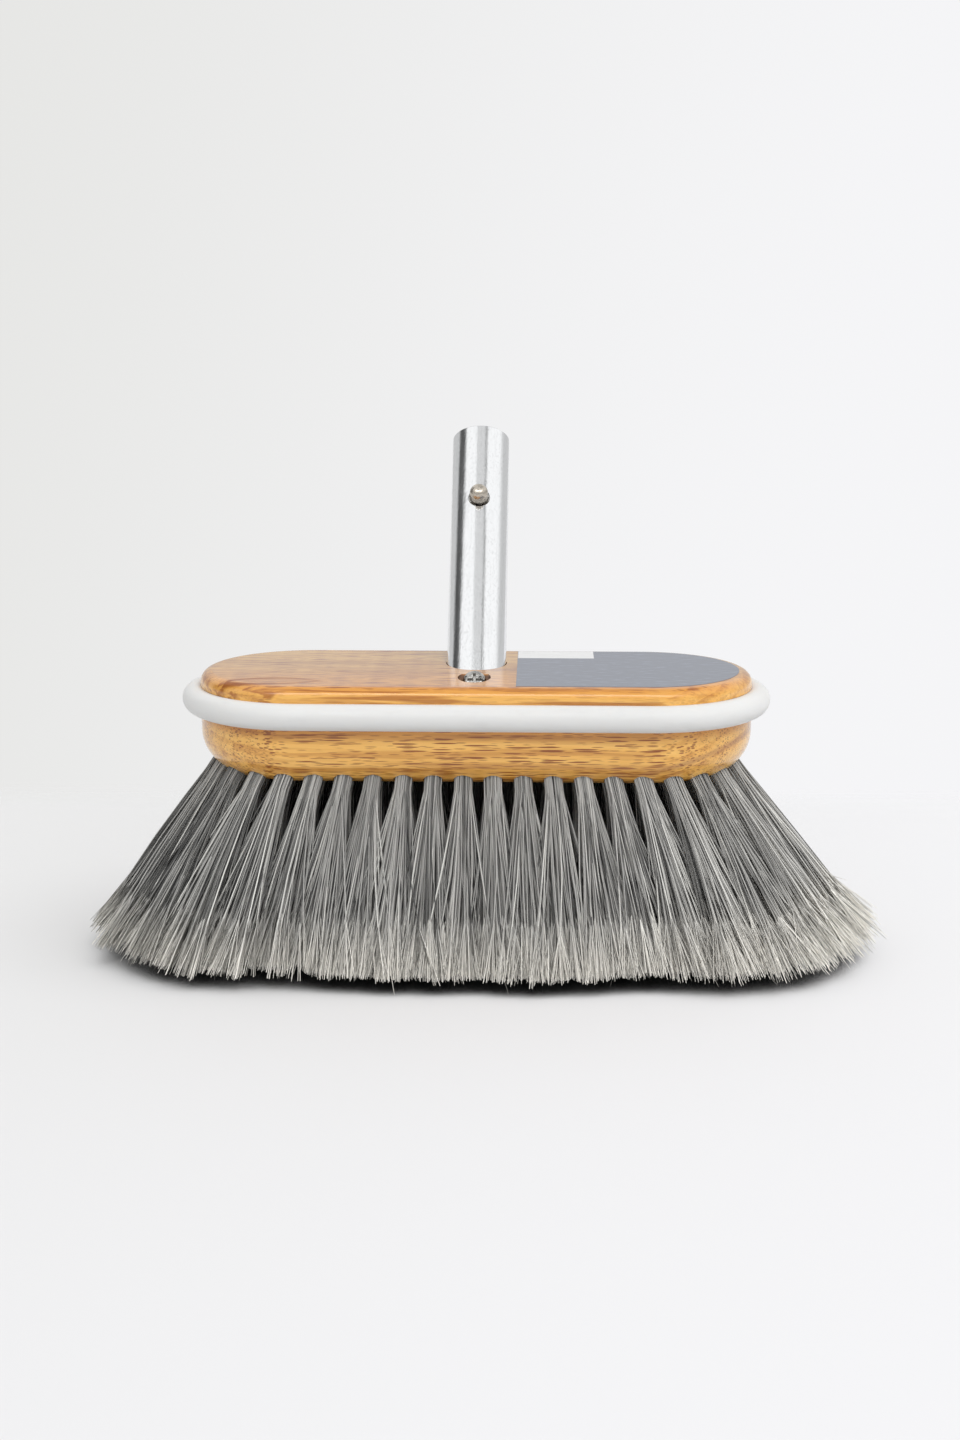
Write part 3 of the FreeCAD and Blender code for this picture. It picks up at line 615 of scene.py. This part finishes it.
def filament_lines(rng, tuft, count, props):
    """The points of a tuft's filaments, from inside its hole to their tips."""
    seats = unit_disc(rng, count)
    locks = unit_disc(rng, LOCKS_IN_TUFT)
    nearest = lengths_of((seats[:, None] - locks[None]).reshape(-1, 2)).reshape(count, -1).argmin(axis=1)
    drawn = seats + (locks[nearest] - seats) * props.clump_share * rng.random((count, 1))
    flat = np.eye(3)[:2] - np.outer(tuft.upward[:2], tuft.upward)
    flat /= lengths_of(flat)
    necks = tuft.neck + seats @ flat * (tuft.radius - props.radius)
    # Tips stand off the tuft's own tip, some of them wildly, and rise where they go beyond it
    wild = np.where(rng.random((count, 1)) < props.wild_share, WILD_FACTOR, 1.0)
    off = drawn * tuft.reach * props.spread_share + scatter(rng, props.stray, (count, 2)) * wild
    outward = (tuft.tip - tuft.neck)[:2]
    outward /= max(np.linalg.norm(outward), props.radius)
    sideways = np.array([-outward[1], outward[0]])
    off += np.outer(off @ sideways, sideways) * (props.row_share - 1)
    beyond = np.maximum(off @ outward, 0.0)
    held = np.minimum(beyond * props.outward_share, tuft.reach.mean() * OUTER_REACH_SHARE)
    off -= np.outer(beyond - held, outward)
    # The tips draw in and rise a little at the shoulders, where the long sides meet the ends
    near_shoulder = np.exp(-(((abs(tuft.tip[0]) - props.shoulder_place) / props.shoulder_width) ** 2))
    tuck = props.shoulder_tuck * near_shoulder * (tuft.tip[1] / BRISTLE_HALF_WIDTH) ** 2
    off[:, 1] -= np.sign(tuft.tip[1]) * tuck
    far_out = (tuft.tip[0] / BLOCK_HIGH.x) ** 2
    off[:, 0] += (props.end_drift - np.sign(tuft.tip[0]) * props.end_pull) * far_out
    lift = beyond * props.lift_share + tuck * props.tuck_lift_share + props.tip_lift
    lift -= props.end_drop * far_out
    ends = np.column_stack([tuft.tip[:2] + off, tuft.tip[2] + lift])
    ends -= (ends - necks) / lengths_of(ends - necks) * props.tip_uneven * rng.random((count, 1)) ** 3
    ends[:, 2] = np.maximum(ends[:, 2], props.radius * (1 + 3 * rng.random(count)))
    # Each filament leaves its hole along the tuft and bends towards its own tip
    straight = (necks + ends) / 2
    along = necks - tuft.upward * lengths_of(ends - necks) / 2
    bend = straight + (along - straight) * props.bow_share
    lines = bent_lines(necks, bend, ends, WAY_SHARES)
    wander = scatter(rng, props.wander, (count, 1, 3)) * (1, 1, 0)
    lines += wander * np.sin(np.pi * WAY_SHARES[None, :, None])
    holes = necks + tuft.upward * tuft.shank * ROOT_DEPTH_SHARE
    return np.concatenate([holes[:, None], lines], axis=1)


def flag_lines(rng, lines, splay):
    """Fine split ends that part from the last stretch of the filaments."""
    count = len(lines)
    starts = lines[:, -3]
    part = scatter(rng, splay, (count, 3)) * (1, 1, 0.5)
    # No split end hangs lower than its filament
    part[:, 2] = abs(part[:, 2])
    return np.stack([starts, lines[:, -1] + part], axis=1)


def stray_lines(rng, lines, count, props):
    """Loose hairs that leave some filaments part of the way down and curl off."""
    picked = lines[rng.choice(len(lines), count, replace=False)]
    starts = picked[:, -4]
    ends = picked[:, -1] + scatter(rng, props.stray_reach, (count, 3)) * (1, 1, 0.8)
    ends[:, 2] = np.maximum(ends[:, 2], props.stray_reach * 0.2)
    bend = picked[:, -2] + scatter(rng, props.stray_reach * 0.35, (count, 3))
    return bent_lines(starts, bend, ends, np.linspace(0, 1, len(STRAY_SHARES)))


# Where the four corners round a strand lie across its own strip of the map, and how wide that strip is
CORNER_SHARES = (0.0, 0.5, 1.0, 0.5)
CORNER_STRIP = 0.012
MAP_MARGIN = 0.02
# Thickness of the darkest strands over the usual one, and how much thicker the palest are
DARK_THICKNESS = 0.85
PALE_GAIN = 0.3


def strand_mesh(name, groups):
    """One mesh of many strands. A group is its lines, its points' radii and ways, and its lines' shades."""
    curve = bpy.data.curves.new(name, "CURVE")
    curve.dimensions = "3D"
    curve.bevel_depth = 1.0
    curve.bevel_resolution = 0
    across = []
    along = []
    for lines, radii, ways, shades in groups:
        count, points, _ = lines.shape
        quads = np.concatenate([lines, np.ones((count, points, 1))], axis=2).astype(np.float32)
        thick = radii[None] * (DARK_THICKNESS + PALE_GAIN * shades[:, None] * np.ones((1, points)))
        for line, widths in zip(quads, thick.astype(np.float32)):
            spline = curve.splines.new("POLY")
            spline.points.add(points - 1)
            spline.points.foreach_set("co", line.ravel())
            spline.points.foreach_set("radius", widths)
        corner = np.tile(CORNER_SHARES, count * points)
        shade = np.repeat(shades, points * len(CORNER_SHARES))
        across.append(shade * (1 - 2 * MAP_MARGIN) + MAP_MARGIN + corner * CORNER_STRIP)
        along.append(np.tile(np.repeat(ways, len(CORNER_SHARES)), count))
    holder = bpy.data.objects.new(name, curve)
    mesh = bpy.data.meshes.new_from_object(holder)
    bpy.data.objects.remove(holder)
    bpy.data.curves.remove(curve)
    mesh.name = name
    while mesh.uv_layers:
        mesh.uv_layers.remove(mesh.uv_layers[0])
    corners = np.zeros(len(mesh.loops), np.int32)
    mesh.loops.foreach_get("vertex_index", corners)
    places = np.stack([np.concatenate(across)[corners], np.concatenate(along)[corners]], axis=1)
    layer = mesh.uv_layers.new(name=STRAND_MAP)
    layer.uv.foreach_set("vector", places.astype(np.float32).ravel())
    return mesh


def shades_for(rng, count, middle, spread):
    """Random shades, mostly near the middle one."""
    return np.clip(rng.normal(middle, spread, count), 0.0, 1.0)


def tuft_groups(rng, tuft, row, loose, props):
    """One tuft's strands, as groups for strand_mesh: its filaments, their split ends and its loose hairs."""
    count = {"outer": props.outer_count, "middle": props.middle_count}.get(row, props.inner_count)
    lines = filament_lines(rng, tuft, count, props)
    along = tuft.tip[0] / BLOCK_HIGH.x
    # Filaments are paler towards the right end, and painted shade darkens both ends
    middle = 0.5 + props.shade_slope * along - props.painted_end_shade * along**2
    shades = shades_for(rng, count, middle, props.shade_spread)
    # Towards the right end the filaments turn pale sooner and their split ends part more
    far_right = max(along, 0.0) ** 2
    early = 1 + props.early_fade * far_right
    ways = np.minimum(np.concatenate([[0.0], WAY_SHARES]) * early, 1.0)
    groups = [(lines, props.radius * FILAMENT_SHARES, ways, shades)]
    flag_ways = np.minimum(FLAG_WAY_SHARES * early, 1.0)
    splay = props.flag_splay * (1 + props.frizz_share * far_right)
    for _ in range(props.flag_count if row == "outer" else 1):
        flags = flag_lines(rng, lines, splay)
        flag_shades = shades_for(rng, count, middle, props.shade_spread)
        groups.append((flags, props.flag_radius * FLAG_SHARES, flag_ways, flag_shades))
    if loose:
        strays = stray_lines(rng, lines, loose, props)
        groups.append((strays, props.flag_radius * STRAY_SHARES, STRAY_WAY_SHARES, shades[:loose]))
    return groups


def place_piece(name, mesh, material, nodes):
    """A piece of the brush: its object, its finish, its body and the solids that it stands for."""
    mesh.materials.append(material)
    piece = bpy.data.objects.new(name, mesh)
    bpy.context.scene.collection.objects.link(piece)
    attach(piece, "brush")
    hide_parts(*nodes)


class BrushOperator:
    """What the operators share."""

    bl_options = {"REGISTER"}


class DECKBRUSH_OT_block(BrushOperator, bpy.types.Operator):
    """Varnished wood for the block"""

    bl_idname = "deck_brush.block"
    bl_label = "Block"

    def execute(self, context):
        dress("brush_block", varnished_wood(context.scene.brush_wood))
        return {"FINISHED"}


class DECKBRUSH_OT_bumper(BrushOperator, bpy.types.Operator):
    """White vinyl for the bumper"""

    bl_idname = "deck_brush.bumper"
    bl_label = "Bumper"

    def execute(self, context):
        dress("bumper_ring", white_vinyl(context.scene.brush_trim))
        return {"FINISHED"}


class DECKBRUSH_OT_tube(BrushOperator, bpy.types.Operator):
    """Bright drawn metal for the tube"""

    bl_idname = "deck_brush.tube"
    bl_label = "Tube"

    def execute(self, context):
        dress("handle_tube", drawn_tube(context.scene.brush_trim))
        return {"FINISHED"}


class DECKBRUSH_OT_button(BrushOperator, bpy.types.Operator):
    """Plated nickel for the snap button"""

    bl_idname = "deck_brush.button"
    bl_label = "Snap button"

    def execute(self, context):
        dress("snap_button", plated_nickel(context.scene.brush_trim))
        return {"FINISHED"}


class DECKBRUSH_OT_hardware(BrushOperator, bpy.types.Operator):
    """Bright steel for the screw, the spring and the staples"""

    bl_idname = "deck_brush.hardware"
    bl_label = "Screw, spring and staples"

    def execute(self, context):
        steel = plain_steel(context.scene.brush_trim)
        for node in ("tube_screw", "snap_spring", *STAPLE_NODES):
            dress(node, steel)
        return {"FINISHED"}


class DECKBRUSH_OT_label(BrushOperator, bpy.types.Operator):
    """Charcoal film for the sticker"""

    bl_idname = "deck_brush.label"
    bl_label = "Sticker"

    def execute(self, context):
        dress("label_sticker", sticker_film(context.scene.brush_trim))
        return {"FINISHED"}


class DECKBRUSH_OT_tufts(BrushOperator, bpy.types.Operator):
    """Filaments with split ends in place of each group of tuft solids"""

    bl_idname = "deck_brush.tufts"
    bl_label = "Tufts"

    def execute(self, context):
        props = context.scene.brush_bristle
        material = grey_bristle(props)
        for order, node in enumerate(TUFT_NODES):
            rng = np.random.default_rng(props.seed + order)
            row = node.split("_")[0]
            loose = 0
            if row == "outer":
                loose = props.stray_count * (RIGHT_END_STRAYS if "right" in node else 1)
            groups = []
            for tuft in tuft_places(node):
                groups.extend(tuft_groups(rng, tuft, row, loose, props))
            if not groups:
                raise RuntimeError(f"{node} has no tufts")
            name = node.replace("tufts", "bristles")
            place_piece(name, strand_mesh(node, groups), material, [node])
        return {"FINISHED"}


class DECKBRUSH_OT_stage(BrushOperator, bpy.types.Operator):
    """Pale floor, soft light and the camera"""

    bl_idname = "deck_brush.stage"
    bl_label = "Stage"

    def execute(self, context):
        props = context.scene.brush_stage
        make_floor(props)
        make_world(context.scene, props)
        make_lamps(props)
        make_camera(context.scene, props)
        context.scene.view_settings.view_transform = "Standard"
        return {"FINISHED"}


FLOOR_HALF_SIZE = 4.0
# How near the floor a piece has to be for the painted contact shadow to darken it
CONTACT_REACH = 0.02


def make_floor(props):
    """A pale floor that fades into the backdrop behind the brush."""
    mesh = bmesh.new()
    bmesh.ops.create_grid(mesh, x_segments=1, y_segments=1, size=FLOOR_HALF_SIZE)
    data = bpy.data.meshes.new("floor")
    mesh.to_mesh(data)
    mesh.free()
    floor = bpy.data.objects.new("floor", data)
    bpy.context.scene.collection.objects.link(floor)
    material, tree, shader, place = new_finish("floor", Roughness=0.9, Specular_IOR_Level=0.1)
    x, y, _ = add(tree, "ShaderNodeSeparateXYZ", {0: place}).outputs
    # Painted shade: the floor is painted darker towards the left and the back
    lean = calc(tree, "SUBTRACT", x, calc(tree, "MULTIPLY", y, 0.4))
    cloth = noise(tree, place, scale=3.0, detail=2.0)
    lean = calc(tree, "ADD", lean, calc(tree, "MULTIPLY", calc(tree, "SUBTRACT", cloth, 0.5), 0.05))
    painted_floor_shade = blend(tree, steps(tree, lean, -0.35, 0.35), rgba(props.floor_left), rgba(props.floor_right))
    # Painted contact shadow: the floor is painted darker where the bristles nearly touch it
    sockets = {"Distance": CONTACT_REACH}
    clearance = add(tree, "ShaderNodeAmbientOcclusion", sockets, samples=12).outputs["AO"]
    painted_contact_shadow = steps(tree, clearance, 0.3, 0.64, 0.97, 0.0)
    wire(tree, shader, Base_Color=blend(tree, painted_contact_shadow, painted_floor_shade, rgba((0.0, 0.0, 0.0))))
    seen = add(tree, "ShaderNodeLightPath").outputs["Is Camera Ray"]
    behind = steps(tree, y, props.floor_end - 0.03, props.floor_end + 0.03)
    away = add(tree, "ShaderNodeVectorMath", {0: place}, operation="LENGTH").outputs["Value"]
    gone = calc(tree, "MULTIPLY", calc(tree, "MAXIMUM", behind, steps(tree, away, 0.6, 1.2)), seen)
    clear = add(tree, "ShaderNodeBsdfTransparent").outputs[0]
    mixed = add(tree, "ShaderNodeMixShader", {0: gone, 1: shader.outputs[0], 2: clear})
    tree.links.new(mixed.outputs[0], tree.nodes["Material Output"].inputs["Surface"])
    data.materials.append(material)


def make_world(scene, props):
    """A pale backdrop for the camera, a soft room for light, and a banded white room for reflections."""
    world = bpy.data.worlds.new("studio")
    world.use_nodes = True
    scene.world = world
    tree = world.node_tree
    way = add(tree, "ShaderNodeTexCoord").outputs["Generated"]
    x, y, z = add(tree, "ShaderNodeSeparateXYZ", {0: way}).outputs
    # Painted shade: the backdrop is darker towards the left and the top
    lean = calc(tree, "SUBTRACT", x, calc(tree, "MULTIPLY", z, 0.25))
    backdrop = blend(
        tree, steps(tree, lean, -0.36, 0.2), rgba(props.backdrop_left), rgba(props.backdrop_right)
    )
    # Light is a little stronger low down
    light = calc(tree, "MULTIPLY", steps(tree, z, 0.5, 0.2, 1.0, 1.35), props.room_light)
    # Reflections: white above, greyer low down, strips overhead, a dark wall on the left, a window in front
    shine = steps(tree, z, 0.25, 0.5, 0.78, 1.35)
    over = calc(tree, "MULTIPLY", inside(tree, x, -0.2, 0.3, 0.05), steps(tree, z, 0.7, 0.8))
    edge = calc(tree, "MULTIPLY", inside(tree, x, 0.31, 0.38, 0.02), steps(tree, z, 0.7, 0.8))
    wall = calc(tree, "MULTIPLY", inside(tree, y, 0.1, 0.36, 0.14), steps(tree, x, -0.6, -0.72))
    shine = calc(tree, "SUBTRACT", shine, calc(tree, "MULTIPLY", over, 0.42))
    shine = calc(tree, "SUBTRACT", shine, calc(tree, "MULTIPLY", edge, 0.8))
    shine = calc(tree, "MULTIPLY", shine, calc(tree, "SUBTRACT", 1.0, calc(tree, "MULTIPLY", wall, 0.9)))
    window = calc(tree, "MULTIPLY", inside(tree, y, -0.71, -0.58, 0.05), steps(tree, z, 0.55, 0.65))
    shine = calc(tree, "ADD", shine, calc(tree, "MULTIPLY", window, 5.0))
    path = add(tree, "ShaderNodeLightPath").outputs
    level = add(tree, "ShaderNodeMix", {0: path["Is Glossy Ray"], 2: light, 3: shine}).outputs[0]
    background = tree.nodes["Background"]
    lit = add(tree, "ShaderNodeBackground", {"Strength": level})
    tree.links.new(backdrop, background.inputs["Color"])
    shaders = {0: path["Is Camera Ray"], 1: lit.outputs[0], 2: background.outputs[0]}
    both = add(tree, "ShaderNodeMixShader", shaders)
    tree.links.new(both.outputs[0], tree.nodes["World Output"].inputs["Surface"])


def make_lamp(name, power, spread, source):
    """A broad far lamp that shines from a direction onto the brush."""
    lamp = bpy.data.lights.new(name, "SUN")
    lamp.energy = power
    lamp.angle = spread
    holder = bpy.data.objects.new(name, lamp)
    bpy.context.scene.collection.objects.link(holder)
    holder.rotation_euler = Vector(source).to_track_quat("Z", "Y").to_euler()
    holder.visible_glossy = False


def make_lamps(props):
    """A key lamp high on the right and a fill lamp in front."""
    make_lamp("key", props.key_power, math.radians(50), (0.42, -0.16, 0.9))
    make_lamp("fill", props.fill_power, math.radians(25), (0.12, -0.66, 0.74))


def make_camera(scene, props):
    """The camera at the photograph's angle."""
    camera = bpy.data.cameras.new("camera")
    camera.lens = props.lens
    holder = bpy.data.objects.new("camera", camera)
    scene.collection.objects.link(holder)
    holder.location = props.camera_place
    holder.rotation_euler = props.camera_turn
    scene.camera = holder


PIECES = (
    DECKBRUSH_OT_block,
    DECKBRUSH_OT_bumper,
    DECKBRUSH_OT_tube,
    DECKBRUSH_OT_button,
    DECKBRUSH_OT_hardware,
    DECKBRUSH_OT_label,
    DECKBRUSH_OT_tufts,
    DECKBRUSH_OT_stage,
)


class DECKBRUSH_PT_panel(bpy.types.Panel):
    """Lists the brush's pieces"""

    bl_idname = "DECKBRUSH_PT_panel"
    bl_label = "Scrub brush"
    bl_space_type = "VIEW_3D"
    bl_region_type = "UI"
    bl_category = "Scrub brush"

    def draw(self, context):
        for piece in PIECES:
            self.layout.operator(piece.bl_idname)


GROUPS = {
    "brush_bristle": BristleProps,
    "brush_wood": WoodProps,
    "brush_trim": TrimProps,
    "brush_stage": StageProps,
}


def register():
    """Makes the classes known to Blender."""
    for name, group in GROUPS.items():
        bpy.utils.register_class(group)
        setattr(bpy.types.Scene, name, PointerProperty(type=group))
    for kind in (*PIECES, DECKBRUSH_PT_panel):
        bpy.utils.register_class(kind)


def unregister():
    """Takes the classes out again."""
    for kind in reversed((*PIECES, DECKBRUSH_PT_panel)):
        bpy.utils.unregister_class(kind)
    for name, group in GROUPS.items():
        delattr(bpy.types.Scene, name)
        bpy.utils.unregister_class(group)


def main():
    """Dresses the brush piece by piece."""
    register()
    for piece in PIECES:
        space, name = piece.bl_idname.split(".")
        getattr(getattr(bpy.ops, space), name)()


if __name__ == "__main__":
    main()
